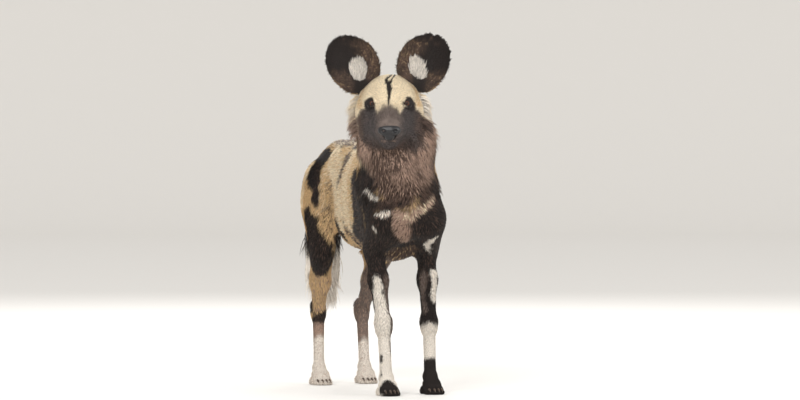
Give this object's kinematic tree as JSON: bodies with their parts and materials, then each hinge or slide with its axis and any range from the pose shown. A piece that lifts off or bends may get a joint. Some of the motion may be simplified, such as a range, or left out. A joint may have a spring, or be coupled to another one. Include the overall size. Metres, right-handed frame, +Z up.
{
  "type": "african wild dog model",
  "caption": "Life-size standing african wild dog, alert, with open round ears, patchy coat, slender legs and a white tail brush",
  "frame": {"origin": "on the floor, below the middle of the model's whole box", "axes": "+Z up, the dog's body faces -Y, its left side is +X; the head is turned about 17 degrees to its right"},
  "size_m": [0.2854, 0.8476, 0.8312],
  "materials": {
    "cream_coat": "short dense matt fur, pale cream",
    "tan_coat": "short dense matt fur, yellowish tan with dark streaks",
    "brown_coat": "dense matt fur, dark grizzled brown",
    "dark_coat": "short matt fur, brownish black",
    "white_coat": "matt fur, off white",
    "eye": "wet, reddish brown iris under a clear cornea",
    "nose": "finely pebbled bare skin, slightly moist",
    "claw": "dark horn, smooth and slightly glossy"
  },
  "bodies": {
    "root": {"head": "cream_coat", "nose": "nose", "eye_left": "eye", "eye_right": "eye", "ear_left": "dark_coat", "ear_right": "dark_coat", "neck": "brown_coat", "torso": "tan_coat", "tail_base": "tan_coat", "tail_brush": "white_coat", "shoulder_left": "dark_coat", "forearm_left": "dark_coat", "forefoot_left": "white_coat", "thigh_left": "brown_coat", "shank_left": "tan_coat", "hindfoot_left": "white_coat", "claw_fore_left_1": "claw", "claw_fore_left_2": "claw", "claw_fore_left_3": "claw", "claw_fore_left_4": "claw", "claw_hind_left_1": "claw", "claw_hind_left_2": "claw", "claw_hind_left_3": "claw", "claw_hind_left_4": "claw", "shoulder_right": "dark_coat", "forearm_right": "dark_coat", "forefoot_right": "white_coat", "thigh_right": "brown_coat", "shank_right": "tan_coat", "hindfoot_right": "white_coat", "claw_fore_right_1": "claw", "claw_fore_right_2": "claw", "claw_fore_right_3": "claw", "claw_fore_right_4": "claw", "claw_hind_right_1": "claw", "claw_hind_right_2": "claw", "claw_hind_right_3": "claw", "claw_hind_right_4": "claw"}
  },
  "joints": []
}
